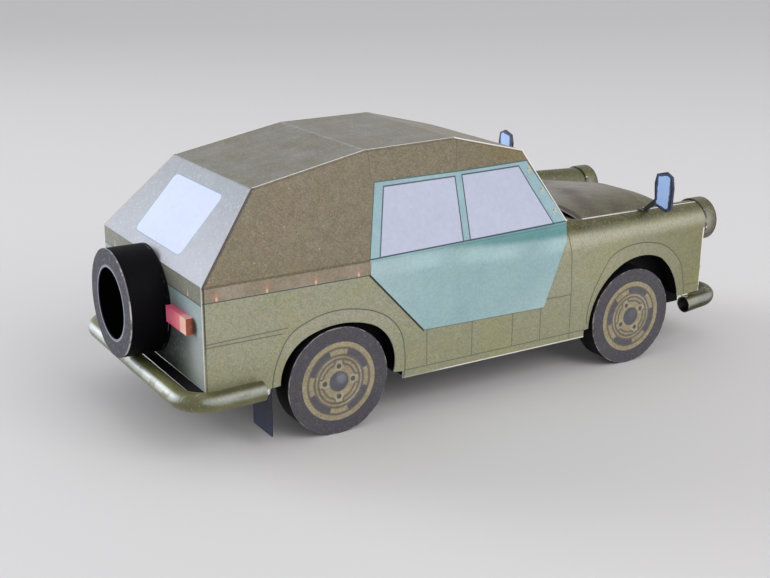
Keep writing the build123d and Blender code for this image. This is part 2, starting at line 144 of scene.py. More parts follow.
# Tubes of the bumpers: distance out and height of an arm's axis at the cross bar,
# the bar's x, the rise along x and the x of the open ends
tubes = {
    "rear": (29.33, 13.55, -71.5, math.tan(math.radians(1.4)), -55.9),
    "front": (26.4, 11.9, 72.5, math.tan(math.radians(5.5)), 62.2),
}
tube_bore, tube_bore_depth = 1.72, 6.0

# Feet of the mirrors' arms on the wing: distance out, then each point's x and its lift off the crown
foot_rows = {
    "rear": (24.45, (48.6, 47.9, 47.1, 46.3), (0.5, 0.2, 0.2, 0.4)),
    "front": (24.8, (48.5, 49.0, 49.6), (0.5, 0.2, 0.25)),
}
foot_widths = (0.9, 1.0, 0.9, 0.5)

# Paper torn at the tubes' ends: path, direction of its width and the widths along it
torn_rows = {
    "rear": ([(-56.4, -30.9, 13.9), (-55.8, -30.75, 13.9), (-55.2, -30.45, 14.0), (-54.8, -30.2, 14.3)],
             (0, 0.2, 1), (0.8, 1.0, 1.1, 0.5)),
    "front": ([(63.2, -26.4, 13.0), (62.4, -26.35, 13.05), (61.7, -26.3, 13.3), (61.2, -26.2, 13.7)],
              (0, 1, 0), (0.8, 1.2, 1.1, 0.5)),
}

# Black strips: the shelf across the rear panel, and the aprons along x inside the wings
shelf_x, shelf_sides, shelf_depth = -68.55, (-27.0, -9.0, 9.0, 27.0), 2.3
apron_xs, apron_half, apron_middle, apron_depth = (55.0, 58.0, 61.0, 65.5), 20.9, 13.5, 7.2

# Studio: lamps as place, size, spread in degrees, power and colour
lamps = {
    "window": ((-0.70, 0.88, 0.36), 0.7, 60.0, 1.47, (0.93, 0.97, 1.0)),
    "room": ((0.35, -1.0, 0.75), 0.9, 180.0, 7.4, (1.0, 0.98, 0.95)),
}
world_colour, world_level, backdrop_colour = (0.95, 0.97, 1.0, 1), 0.62, (0.80, 0.78, 0.80, 1)
floor_colour, floor_reach = (0.72, 0.70, 0.70, 1), 6.0

# Colours as red, green and blue out of 255, as they look in even light; some stand for painted light or
# shade, as the materials below say
# Olive body
paper_white, olive, olive_front = (232, 226, 222), (152, 152, 129), (129, 127, 93)
olive_yellow, olive_low, olive_rim = (150, 150, 92), (134, 134, 100), (158, 156, 136)
olive_dark, olive_moss, olive_dot = (66, 64, 32), (84, 86, 38), (168, 164, 142)
green_dot, wing_gleam, wing_haze = (136, 140, 72), (180, 179, 158), (166, 162, 136)
crown_front, seam_ink, arch_ink = (80, 78, 42), (102, 102, 88), (92, 94, 80)
rear_edge_ink = (50, 48, 54)
# Canopy, roof and tail slope
canopy_brown, canopy_front, canopy_low = (114, 104, 80), (118, 105, 66), (108, 98, 68)
canopy_shade, canopy_rust, canopy_scuff = (96, 85, 54), (116, 92, 64), (176, 168, 158)
canopy_band, canopy_seam, thread_yellow = (138, 126, 105), (66, 60, 48), (150, 136, 92)
thread_blue, band_patch, band_dot = (98, 96, 100), (164, 152, 136), (168, 140, 118)
band_dash, crease_ink, tail_edge_ink = (84, 78, 78), (70, 66, 58), (50, 42, 48)
roof_edge_ink, roof_grey, roof_front = (58, 50, 50), (113, 110, 97), (122, 115, 97)
roof_streak, roof_moss, roof_dot = (138, 138, 146), (96, 94, 70), (150, 148, 126)
tail_lit_grey, tail_upper_shade, tail_far_shade = (168, 171, 184), (142, 147, 156), (142, 146, 152)
tail_patch, tail_dot, tail_cut_ink = (160, 164, 168), (200, 203, 212), (96, 90, 98)
tail_window, window_line, fold_grey = (197, 208, 233), (112, 128, 164), (128, 130, 136)
crease_pale = (166, 165, 168)
# Door, windows and fasteners
teal, teal_ink, teal_patch, door_teal = (141, 173, 183), (56, 88, 84), (148, 180, 186), (148, 180, 185)
door_dark, door_pale, door_low = (94, 147, 149), (178, 206, 210), (166, 192, 197)
door_patch, skin_edge_shade, glass_lilac = (158, 186, 184), (70, 84, 78), (184, 189, 211)
glass_pale, ink_slate, wiper_ink = (198, 206, 226), (62, 76, 86), (52, 54, 56)
fastener_pink, fastener_light, fastener_brass = (208, 136, 114), (238, 190, 160), (206, 186, 140)
strap_shade = (104, 96, 84)
# Hood and panels
hood_crown_light, hood_side_shade, hood_brown, hood_rear_shadow = (138, 134, 128), (82, 80, 50), (66, 50, 44), (14, 8, 16)
hood_patch, hood_dot, cowl_olive = (100, 102, 78), (140, 138, 110), (106, 96, 74)
inner_olive, inner_pale, inner_dot = (67, 70, 30), (92, 92, 62), (140, 140, 84)
panel_shade_green, panel_corner_light, panel_band = (84, 92, 90), (156, 163, 160), (124, 125, 114)
panel_top_light, panel_shadow, panel_low_shade = (156, 180, 183), (22, 20, 20), (46, 52, 50)
panel_moss, panel_dot, band_dot_pale = (112, 122, 96), (150, 158, 152), (150, 148, 124)
slat_dark, slat_pale, grille_ink = (44, 46, 32), (124, 124, 88), (84, 86, 62)
# Wheels and black card
black_ink, black_patch, tyre_grey, tyre_pale = (9, 8, 12), (22, 21, 26), (73, 71, 78), (112, 110, 112)
tyre_dark, tyre_purple, tyre_green, hub_grey = (74, 68, 72), (92, 76, 98), (86, 90, 72), (84, 85, 94)
cap_highlight, ochre, rim_patch = (128, 128, 140), (163, 152, 121), (150, 138, 112)
rim_worn, pocket_pale, ring_brown = (176, 172, 158), (176, 170, 150), (96, 86, 78)
bolt_brown, spare_grey, spare_rim = (88, 78, 76), (50, 48, 60), (140, 140, 154)
spare_dot, spare_side, paper_worn = (122, 120, 136), (30, 28, 34), (132, 128, 138)
# Lamps, mirrors, tubes, flaps, axles and loose bits
lamp_red, lamp_pink, lamp_orange = (255, 98, 144), (250, 124, 140), (255, 204, 184)
lamp_end, lamp_middle, lamp_end_shadow = (174, 90, 66), (226, 168, 158), (96, 58, 44)
lamp_top, lamp_dot, lens_pale = (204, 96, 122), (226, 150, 140), (206, 210, 220)
lens_rib, lens_ring, lens_rim = (168, 176, 192), (110, 116, 128), (184, 186, 190)
ring_olive, ring_painted_highlight, ring_rim = (76, 74, 38), (148, 148, 138), (64, 54, 48)
ring_moss, ring_dot, mirror_blue = (116, 118, 56), (160, 156, 130), (174, 203, 252)
mirror_ink, mirror_rim, mirror_arm, tube_shade = (38, 44, 66), (78, 96, 138), (40, 46, 43), (60, 56, 26)
tube_painted_highlight, tube_olive, tube_dark = (214, 222, 225), (112, 112, 74), (88, 88, 50)
tube_brown, tube_dot, tube_crack = (104, 102, 46), (150, 148, 96), (186, 178, 152)
bore_shade, flap_navy, flap_blue, wood_light = (18, 20, 14), (30, 31, 46), (44, 46, 74), (196, 164, 118)
wood_dark, foot_ink, foot_pale, torn_pale = (150, 116, 76), (38, 44, 42), (84, 90, 76), (214, 208, 204)
torn_shade = (150, 146, 138)


def linear(colour):
    """A colour out of 255 as the shader wants it."""
    parts = [part / 255 for part in colour]
    return [part / 12.92 if part < 0.04045 else ((part + 0.055) / 1.055) ** 2.4 for part in parts] + [1.0]


class Num:
    """A number that a material works out at each point of the surface."""

    def __init__(self, card, socket):
        self.card, self.socket = card, socket

    def do(self, operation, *others, clamp=False):
        node = self.card.node("ShaderNodeMath", operation=operation, use_clamp=clamp)
        for place, value in enumerate((self, *others)):
            self.card.plug(node.inputs[place], value)
        return Num(self.card, node.outputs[0])

    def __add__(self, other):
        return self.do("ADD", other)

    def __sub__(self, other):
        return self.do("SUBTRACT", other)

    def __mul__(self, other):
        return self.do("MULTIPLY", other)

    def __abs__(self):
        return self.do("ABSOLUTE")

    def times_plus(self, factor, term):
        return self.do("MULTIPLY_ADD", factor, term)

    def least(self, *others):
        found = self
        for other in others:
            found = found.do("MINIMUM", other)
        return found

    def most(self, *others):
        found = self
        for other in others:
            found = found.do("MAXIMUM", other)
        return found

    def ink(self, soft=0.07):
        """1 where this distance is below zero and 0 above it, with a soft edge."""
        return self.do("MULTIPLY_ADD", -1 / soft, 0.5, clamp=True)

    def stripe(self, width, soft=0.07):
        """1 on a line of that width where this distance is zero."""
        return (abs(self) - width / 2).ink(soft)

    def ramp(self, low, high):
        """0 up to low and 1 from high on, turning smoothly between them."""
        node = self.card.node("ShaderNodeMapRange", interpolation_type="SMOOTHSTEP")
        for name, value in (("Value", self), ("From Min", low), ("From Max", high)):
            self.card.plug(node.inputs[name], value)
        return Num(self.card, node.outputs[0])

    def no(self):
        return self.do("MULTIPLY_ADD", -1.0, 1.0, clamp=True)


class Card:
    """Procedural material of printed card."""

    def __init__(self, name, roughness=0.5, specular=0.5):
        self.material = bpy.data.materials.new(name)
        self.material.use_nodes = True
        self.tree = self.material.node_tree
        self.shader = self.tree.nodes["Principled BSDF"]
        self.shader.inputs["Specular IOR Level"].default_value = specular
        self.roughness, self.colour = roughness, None
        self.place = self.node("ShaderNodeTexCoord").outputs["Object"]
        scaled = self.node("ShaderNodeVectorMath", operation="SCALE")
        scaled.inputs["Scale"].default_value = 1000.0
        self.plug(scaled.inputs[0], self.place)
        self.x, self.y, self.z = self.split(scaled.outputs[0])
        self.x = self.x - print_zero
        self.half = abs(self.y)
        self.across, self.up = self.x, self.z
        turned = self.node(
            "ShaderNodeVectorTransform", vector_type="NORMAL", convert_from="WORLD", convert_to="OBJECT"
        )
        self.plug(turned.inputs[0], self.node("ShaderNodeNewGeometry").outputs["True Normal"])
        self.nx, self.ny, self.nz = self.split(turned.outputs[0])

    def node(self, kind, **settings):
        node = self.tree.nodes.new(kind)
        for name, value in settings.items():
            setattr(node, name, value)
        return node

    def plug(self, socket, value):
        if isinstance(value, Num):
            value = value.socket
        if isinstance(value, bpy.types.NodeSocket):
            self.tree.links.new(value, socket)
        elif isinstance(value, tuple):
            socket.default_value = linear(value)[: len(socket.default_value)]
        else:
            socket.default_value = value

    def split(self, socket):
        node = self.node("ShaderNodeSeparateXYZ")
        self.plug(node.inputs[0], socket)
        return [Num(self, out) for out in node.outputs]

    def mix(self, share, first, second):
        """First colour where share is 0, second where it is 1."""
        node = self.node("ShaderNodeMix", data_type="RGBA")
        self.plug(node.inputs[0], share)
        self.plug(node.inputs[6], first)
        self.plug(node.inputs[7], second)
        return node.outputs[2]

    def noise(self, size, detail=2.0, stretch=None):
        """Soft noise about 0.5 whose features are that many millimetres wide."""
        node = self.node("ShaderNodeTexNoise")
        node.inputs["Scale"].default_value = 1000.0 / size
        node.inputs["Detail"].default_value = detail
        place = self.place
        if stretch:
            scaled = self.node("ShaderNodeVectorMath", operation="MULTIPLY")
            self.plug(scaled.inputs[0], self.place)
            scaled.inputs[1].default_value = stretch
            place = scaled.outputs[0]
        self.plug(node.inputs["Vector"], place)
        return Num(self, node.outputs["Fac"])

    def specks(self, size):
        """A random number in each cell of a fine mosaic, like the dots of a print."""
        node = self.node("ShaderNodeTexVoronoi")
        node.inputs["Scale"].default_value = 1000.0 / size
        self.plug(node.inputs["Vector"], self.place)
        return self.split(node.outputs["Color"])

    def linear_of(self, across_share, up_share, offset):
        """The drawing's two coordinates, each times a number, plus a third number."""
        return self.up.times_plus(up_share, self.across.times_plus(across_share, offset))

    def shape(self, corners, rounding=0.0):
        """Distance outside a convex shape, its corners counter-clockwise as (across, up)."""
        distance = None
        for (x0, z0), (x1, z1) in zip(corners, corners[1:] + corners[:1]):
            length = math.hypot(x1 - x0, z1 - z0)
            across, up = (z1 - z0) / length, -(x1 - x0) / length
            edge = self.linear_of(across, up, -across * x0 - up * z0 + rounding)
            if distance is None:
                distance = edge
            elif rounding:
                distance = distance.do("SMOOTH_MAX", edge, 2 * rounding)
            else:
                distance = distance.most(edge)
        return distance - rounding if rounding else distance

    def way(self, first, last, start=0.0):
        """Way from a first point towards a last one, counted from that start in millimetres."""
        (x0, z0), (x1, z1) = first, last
        length = math.hypot(x1 - x0, z1 - z0)
        ux, uz = (x1 - x0) / length, (z1 - z0) / length
        return self.linear_of(ux, uz, -ux * x0 - uz * z0 - start)

    def segment(self, first, last):
        """Distance from a straight line between two points, and the way along it from its middle."""
        (x0, z0), (x1, z1) = first, last
        middle = math.dist(first, last) / 2
        across = abs(self.way(first, (x0 + z0 - z1, z0 + x1 - x0)))
        forward = self.way(first, last, middle)
        return across.most(abs(forward) - middle), forward

    def drawn(self, lines):
        """Distance from the nearest of several straight lines."""
        return self.segment(*lines[0])[0].least(*[self.segment(*line)[0] for line in lines[1:]])

    def spot(self, x, z, x_radius, z_radius=None):
        """Distance outside a small round or oval spot, about in millimetres."""
        z_radius = z_radius or x_radius
        across, up = (self.across - x) * (1 / x_radius), (self.up - z) * (1 / z_radius)
        reach = (across * across + up * up).do("SQRT")
        return (reach - 1.0) * min(x_radius, z_radius)

    def polar(self, centre_x, centre_z):
        """Reach from a point of the side, and the angle up from straight ahead in degrees."""
        across, up = self.x - centre_x, self.z - centre_z
        reach = (across * across + up * up).do("SQRT")
        return reach, up.do("ARCTAN2", across) * (180 / math.pi)

    def curve(self, value, points, low, high):
        """A smooth curve through (value, result) pairs."""
        node = self.node("ShaderNodeFloatCurve")
        first, last = points[0][0], points[-1][0]
        curve = node.mapping.curves[0]
        scaled = [((at - first) / (last - first), (result - low) / (high - low)) for at, result in points]
        curve.points[0].location, curve.points[1].location = scaled[0], scaled[-1]
        for point in scaled[1:-1]:
            curve.points.new(*point)
        node.mapping.update()
        self.plug(node.inputs["Value"], (value - first) * (1 / (last - first)))
        return Num(self, node.outputs[0]).times_plus(high - low, low)

    def grain(self, colour, light=0.05, warm=0.0, size=0.42, patches=0.05):
        """The uneven ink of a printed sheet: coloured dots and soft patches."""
        red, green, blue = self.specks(size)
        cloud = self.noise(5.0, 3.0)
        level = (red - 0.5) * (2 * light) + (cloud - 0.5) * (4 * patches) + 1.0
        tint = self.node("ShaderNodeCombineXYZ")
        self.plug(tint.inputs[0], level + (green - 0.5) * (2 * warm))
        self.plug(tint.inputs[1], level)
        self.plug(tint.inputs[2], level - (green - 0.5) * (2 * warm))
        out = self.node("ShaderNodeVectorMath", operation="MULTIPLY")
        self.plug(out.inputs[0], colour)
        self.plug(out.inputs[1], tint.outputs[0])
        return out.outputs[0]

    def dots(self, colour, ink, share, size=0.4, strength=0.6):
        """Scattered dots of a second ink, over about that share of the surface."""
        pick = self.specks(size)[2].do("SUBTRACT", 1 - share).do("MULTIPLY", 12.0, clamp=True)
        return self.mix(pick * strength, colour, ink)

    def paint(self, share, ink):
        """Prints an ink over the card's colour, as densely as share says."""
        self.colour = self.mix(share, self.colour, ink)

    def cut(self, edge):
        """The card's colour with bare paper where the sheet was cut."""
        worn = (self.noise(0.9, 2.0) - 0.5) * 0.24 + 1.0
        paper = self.node("ShaderNodeVectorMath", operation="SCALE")
        paper.inputs[0].default_value = linear(paper_white)[:3]
        self.plug(paper.inputs["Scale"], worn)
        return self.mix(edge, self.colour, paper.outputs[0])

    def done(self, colour, gloss_patches=0.08, fibre=0.012):
        """Connects the colour, with the sheet's fine fibre as bump and uneven gloss."""
        self.plug(self.shader.inputs["Base Color"], colour)
        rough = (self.noise(1.6, 3.0) - 0.5) * (2 * gloss_patches) + self.roughness
        self.plug(self.shader.inputs["Roughness"], rough)
        bump = self.node("ShaderNodeBump")
        bump.inputs["Strength"].default_value = 0.6
        bump.inputs["Distance"].default_value = fibre / 1000
        self.plug(bump.inputs["Height"], self.noise(0.22, 3.0) + self.noise(6.0, 1.0) * 3.0)
        self.plug(self.shader.inputs["Normal"], bump.outputs[0])
        return self.material


def dress(material, *names):
    """Gives a material to CAD nodes by name, or by name and _left or _right."""
    for name in names:
        found = [node for key, node in nodes.items() if key in (name, name + "_left", name + "_right")]
        for node in found:
            node.data.materials.clear()
            node.data.materials.append(material)


def belt_line(card):
    """Height over the belt fold."""
    rise = (belt[2][1] - belt[1][1]) / (belt[2][0] - belt[1][0])
    front = (card.x - belt[1][0]).most(0.0) * rise
    return card.z - belt[1][1] - front


def door_colour(card):
    """The door's printed shading: dark under the window line, then a gleam."""
    under = belt_line(card) * -1.0
    share = card.x.ramp(-22.0, 20.0)
    depth = share.times_plus(3.1, 0.3)
    lower = under.ramp(-0.3, 1.8).times_plus(0.4, 0.55)
    dark = (under - depth).ramp(0.9, -0.8) * card.x.ramp(-24.0, 2.0) * lower
    gleam = abs(under - depth - 2.1).ramp(0.3, 2.8).no() * card.noise(16.0, 1.0).ramp(0.2, 0.55)
    colour = card.mix(card.noise(9.0, 3.0).ramp(0.35, 0.7) * 0.4, door_teal, door_patch)
    colour = card.mix(gleam * 0.7, colour, door_pale)
    rear = card.x.ramp(-12.0, -29.0) * under.ramp(0.0, 3.0)
    low_front = card.linear_of(0.35, -1.0, 14.0).ramp(-9.0, 2.5)
    colour = card.mix(rear.most(low_front) * 0.75, colour, door_low)
    return card.mix(dark, colour, door_dark)


def roll_end(card):
    """Distance out from the middle at which the side's curl ends."""
    rear, front = (28.5, 25.18), (66.95, 22.86)
    slope = (front[1] - rear[1]) / (front[0] - rear[0])
    return card.x.times_plus(slope, rear[1] - slope * rear[0])


def olive_base(card):
    """Olive ink of the lower body, browner to the front, with greener patches."""
    colour = card.mix(card.x.ramp(28.0, 66.0), olive, olive_front)
    colour = card.mix(card.z.ramp(26.0, 13.0) * card.x.ramp(50.0, 20.0) * 0.45, colour, olive_low)
    return card.mix(card.noise(11.0, 3.0).ramp(0.45, 0.72) * 0.35, colour, olive_yellow)


def olive_dots(card, colour):
    """The print's paler and greener dots over olive ink."""
    colour = card.dots(colour, olive_dot, 0.18, 0.36, 0.16)
    colour = card.dots(colour, green_dot, 0.2, 0.33, 0.3)
    return card.grain(colour, 0.15, 0.06, 0.3, 0.03)


def canopy_print(card):
    """Woven canopy ink: brown with fine yellow and blue-grey threads."""
    upper_front = card.x.ramp(-2.0, 12.0) * card.z.ramp(50.0, 53.0)
    colour = card.mix(upper_front, canopy_brown, canopy_front)
    low_rear = card.linear_of(0.35, 1.0, 0.0).ramp(30.0, 18.0)
    colour = card.mix(low_rear * 0.8, colour, canopy_low)
    colour = card.mix(card.noise(1.6, 4.0).ramp(0.35, 0.7) * 0.4, colour, canopy_shade)
    rust = card.linear_of(0.9, -0.4, 48.0).ramp(8.0, -8.0) * card.noise(6.0, 3.0).ramp(0.4, 0.7)
    colour = card.mix(rust * 0.35, colour, canopy_rust)
    colour = card.dots(colour, thread_yellow, 0.24, 0.25, 0.3)
    colour = card.dots(colour, thread_blue, 0.2, 0.25, 0.3)
    scuffs = card.noise(1.4, 1.0, (1.0, 1.0, 2.0)).ramp(0.74, 0.8)
    colour = card.mix(scuffs * 0.6, colour, canopy_scuff)
    return card.grain(colour, 0.25, 0.09, 0.27, 0.05)


def side_fabric(card):
    """Canopy part of the side: band with fasteners, seams, ticks and crease."""
    band = card.mix(card.noise(7.0, 2.0).ramp(0.42, 0.62) * 0.5, canopy_band, band_patch)
    band = card.grain(card.dots(band, band_dot, 0.2, 0.35, 0.4), 0.12, 0.05, 0.33)
    fabric = card.mix((card.z - band_top).ink(), canopy_print(card), band)
    dashes = card.noise(1.1, 2.0).ramp(0.36, 0.52)
    fabric = card.mix((card.z - band_top).stripe(0.18) * dashes * 0.7, fabric, band_dash)
    for x in fastener_x:
        pin = card.spot(x, 34.8, 0.22, 0.6)
        bar = card.spot(x, 34.5, 0.75, 0.18)
        foot = card.spot(x, 33.8, 0.25, 0.45)
        fabric = card.mix(pin.least(bar).ink(0.3) * 0.5, fabric, fastener_pink)
        fabric = card.mix(foot.ink(0.2) * 0.8, fabric, fastener_light)
    fabric = card.mix(card.drawn(canopy_seams).stripe(0.18) * 0.6, fabric, canopy_seam)
    crease, way = card.segment(*canopy_crease)
    worn = way.do("MULTIPLY", 2.4).do("SINE").ramp(-0.8, 0.3)
    fabric = card.mix(crease.stripe(0.24) * worn * 0.4, fabric, crease_ink)
    ticks = card.drawn([((x - 0.45, 51.55), (x + 0.45, 51.6)) for x in window_ticks])
    fabric = card.mix(ticks.stripe(0.25) * 0.7, fabric, ink_slate)
    tail_edge = card.segment(belt[0], tail_fold)[0]
    ragged = card.noise(0.8, 2.0).times_plus(0.5, 0.28)
    fabric = card.mix((tail_edge - ragged).ink(0.12) * 0.9, fabric, tail_edge_ink)
    roof_line = card.drawn([(tail_fold, roof_fold), (roof_fold, front_fold), (front_fold, screen_top)])
    return card.mix((roof_line - 0.34).stripe(0.2) * 0.55, fabric, roof_edge_ink)


def side_material():
    """Side of the body: olive below, brown canopy above, door frame and windows."""
    card = Card("side_card", 0.46)
    above = belt_line(card)

    # Olive lower body; the wing's crown is dark with a gleam along its foot
    card.colour = olive_base(card)
    wing = card.x.ramp(21.6, 22.4)
    fading = card.x.ramp(40.0, 66.0)
    gleam = abs(card.z - card.x.times_plus(0.012, 32.3)).ramp(0.1, 2.6).no() * 0.9
    haze = abs(card.z - 31.6).ramp(0.5, 3.0).no() * card.x.ramp(44.0, 24.0)
    card.paint(wing * haze * 0.45, wing_haze)
    card.paint(wing * gleam * fading.times_plus(-0.3, 1.0), wing_gleam)
    crown = card.mix(card.noise(5.0, 3.0).ramp(0.4, 0.65) * 0.6, olive_dark, olive_moss)
    crown = card.mix(fading * 0.3, crown, crown_front)
    card.paint(wing * card.z.ramp(33.4, 36.0), crown)
    arch_line = 0.0
    for end, points in arch_lines.items():
        reach, angle = card.polar(axle_x[end], axle_z)
        gap = reach - card.curve(angle, points, 12.0, 20.0)
        near = (angle - 190).most(angle * -1.0 - 12).ink(1.0)
        pale = 0.8 if end == "rear" else 0.12
        rim_share = card.z.ramp(17.0, 25.0).times_plus(pale, 0.1)
        card.paint(gap.ink(0.2) * near * rim_share, olive_rim)
        arch_line = (gap.stripe(0.28, 0.12) * near).most(arch_line)
    card.colour = olive_dots(card, card.colour)
    card.paint(arch_line, arch_ink)
    card.paint(card.drawn(seams).stripe(0.26, 0.12) * 0.9, seam_ink)
    # painted shadow under the door skin's rear and lower edges, and a line along its front edge
    for first, last, width, ink in door_skin_shadows_and_lines:
        card.paint(card.segment(first, last)[0].stripe(width), ink)

    # Canopy above the band's foot, behind the door and over its frame
    behind = (card.x - door_rear).most(card.z.times_plus(-1.0, band_bottom))
    over = (above * -1.0).most(card.x - door_front)
    card.paint(behind.least(over).ink(), side_fabric(card))
    foot_line = (card.z - band_bottom).stripe(0.22) * (card.x - door_rear).ink()
    card.paint(foot_line, ink_slate)
    rear_line = (card.x + 66.96).stripe(0.34) * (card.z - 36.4).ink()
    card.paint(rear_line * card.z.ramp(20.0, 27.0).times_plus(0.4, 0.5), rear_edge_ink)

    # Door: strip over its skin, frame, straps and windows
    door = card.shape(door_lower)
    card.paint(door.ink(), card.grain(door_colour(card), 0.06, 0.03))
    frame_edge = card.shape(door_frame)
    frame = card.mix(card.noise(5.0, 2.0).ramp(0.4, 0.7) * 0.5, teal, teal_patch)
    card.paint(frame_edge.ink(), card.grain(frame, 0.05, 0.03))
    for x, z in strap_places:
        ends = (card.spot(x + 0.4, z + 0.5, 0.2), card.spot(x - 0.3, z - 0.5, 0.18))
        pale = card.spot(x, z, 0.5, 0.2).least(*ends)
        card.paint(pale.ink(0.2) * 0.85, fastener_brass)
        card.paint(card.spot(x - 0.25, z + 0.3, 0.17).ink(0.2) * 0.8, strap_shade)
    card.paint(frame_edge.stripe(0.24), teal_ink)
    for corners in windows:
        glass = card.shape(corners)
        lilac = card.grain(glass_lilac, 0.03, 0.015, 0.7, 0.03)
        card.paint(glass.ink(), lilac)
        card.paint(glass.stripe(0.3), ink_slate)
    sill = card.segment(*window_sill)[0]
    card.paint(sill.stripe(0.28), ink_slate)

    # Bare paper at cut edges: ends, sill, windscreen pillar, nose and the roll's end
    on_roll = (card.x - 22.5).ramp(0.0, 0.5) * (card.z - 30.0).ramp(0.0, 1.0)
    flat_edge = abs(card.ny).ramp(0.5, 0.62).no() * on_roll.no()
    tail_ink = flat_edge * card.x.ramp(-52.4, -52.6) * card.z.ramp(36.6, 36.9)
    card.paint(tail_ink, tail_cut_ink)
    flat_edge = flat_edge * tail_ink.no()
    end_edge = abs(card.nx).ramp(0.7, 0.8)
    at_curl = card.x.ramp(28.0, 28.6) * card.z.ramp(35.0, 35.3)
    roll_edge = (card.half - roll_end(card)).ramp(0.42, 0.3) * at_curl
    sill_share = card.x.ramp(-16.0, -9.0).times_plus(0.75, 0.2)
    sill_edge = card.z.ramp(sill_bottom + 0.32, sill_bottom + 0.2) * sill_share
    pillar_edge = card.segment(screen_top, belt[2])[0].stripe(0.5)
    roof_edge = card.segment(front_fold, screen_top)[0].stripe(0.46)
    nose_worn = card.z.ramp(31.0, 30.0) * card.noise(2.0).ramp(0.3, 0.5)
    nose_edge = (card.x - nose_print).ramp(0.0, 0.1) * nose_worn
    bare = flat_edge.most(end_edge, roll_edge, sill_edge, pillar_edge, roof_edge, nose_edge)
    return card.done(card.cut(bare))


def door_material():
    """Door skin, glued over the side; its edge shows white only at its rear top. Its downward-facing edges
    are painted shade.
    """
    card = Card("door_card", 0.42)
    card.colour = card.grain(door_colour(card), 0.06, 0.03)
    edge = abs(card.ny).ramp(0.5, 0.62).no()
    # painted shade on the edges that face downwards
    card.paint(edge * card.nz.ramp(-0.2, -0.4), skin_edge_shade)
    return card.done(card.cut(edge * abs(card.nz).ramp(0.2, 0.4).no()))


def canopy_material():
    """Roof and tail slope, with the printed rear window; the tail slope is painted pale as light on the
    canopy print, darker up the slope and towards the far side.
    """
    card = Card("canopy_card", 0.5)
    card.colour = card.mix(card.x.ramp(-4.5, -3.0), roof_grey, roof_front)
    streaks = card.noise(5.0, 5.0, (0.5, 1.0, 1.0)).ramp(0.42, 0.72)
    card.paint(streaks * 0.35, roof_streak)
    card.paint(card.noise(4.0, 4.0, (1.0, 0.35, 1.0)).ramp(0.45, 0.7) * 0.35, roof_moss)
    roof = card.grain(card.dots(card.colour, roof_dot, 0.14, 0.36, 0.5), 0.10, 0.04, 0.36, 0.05)
    along = card.way(belt[0], tail_fold)
    # painted light: the tail slope's pale grey stands for light on the canopy print, with painted shade up
    # the slope and towards the far side
    tail = card.mix(along.ramp(1.0, 22.0), tail_lit_grey, tail_upper_shade)
    tail = card.mix(card.y.ramp(-4.0, 26.0) * 0.5, tail, tail_far_shade)
    tail = card.mix(card.noise(8.0, 3.0).ramp(0.4, 0.7) * 0.3, tail, tail_patch)
    tail = card.grain(card.dots(tail, tail_dot, 0.12, 0.36, 0.35), 0.06, 0.03, 0.33, 0.04)
    fold = card.x - tail_fold[0]
    wander = (card.noise(2.5, 3.0) - 0.5) * 0.5
    card.colour = card.mix((fold + wander).ink(0.2), roof, tail)
    card.paint((fold + wander).stripe(0.5, 0.4) * 0.5, fold_grey)
    crease = (card.x - roof_fold[0] + wander).stripe(0.5, 0.8) * card.noise(2.0).ramp(0.3, 0.55)
    card.paint(crease * 0.6, crease_pale)
    seam = (card.x - front_fold[0] + wander).stripe(0.6, 0.9) * card.noise(1.5).ramp(0.3, 0.6)
    card.paint(seam * 0.4, crease_pale)

    # Rounded window, measured along the slope from its foot
    box_y, box_u = (abs(card.y - 0.35) - 10.8).most(0.0), (abs(along - 10.5) - 6.1).most(0.0)
    window = (box_y * box_y + box_u * box_u).do("SQRT") - 1.5
    inside = fold.ink(0.2)
    card.paint(window.ink() * inside, card.grain(tail_window, 0.02, 0.01, 0.7, 0.015))
    card.paint(window.stripe(0.24) * inside * 0.65, window_line)
    worn = card.noise(1.1, 3.0).ramp(0.35, 0.6)
    from_edge = card.z.times_plus(-canopy_lean, body_half + canopy_lean * belt[0][1]) - card.half
    rub = from_edge.ramp(0.8, 0.1) * inside * worn * 0.4
    ragged = card.noise(0.9, 3.0).ramp(0.38, 0.52).times_plus(0.75, 0.25)
    edge = abs(card.ny).ramp(0.5, 0.6) * ragged.most(inside.no()) * inside.times_plus(-0.8, 1.0)
    return card.done(card.cut(edge.most(rub)))


def windscreen_material():
    """Printed windscreen with its frame and two wipers, drawn as seen from ahead."""
    card = Card("windscreen_card", 0.46)
    card.across = card.half
    card.colour = olive_dots(card, olive_base(card))
    glass = card.shape(screen_glass, 0.8)
    lilac = card.mix(card.linear_of(0.5, -1.0, 40.0).ramp(-4.0, 4.0) * 0.5, glass_lilac, glass_pale)
    card.paint(glass.ink(), card.grain(lilac, 0.03, 0.015, 0.7, 0.03))
    card.paint(card.drawn(wipers).stripe(0.5), wiper_ink)
    card.paint(glass.stripe(0.32), ink_slate)
    return card.done(card.cut(abs(card.ny).ramp(0.5, 0.6)))


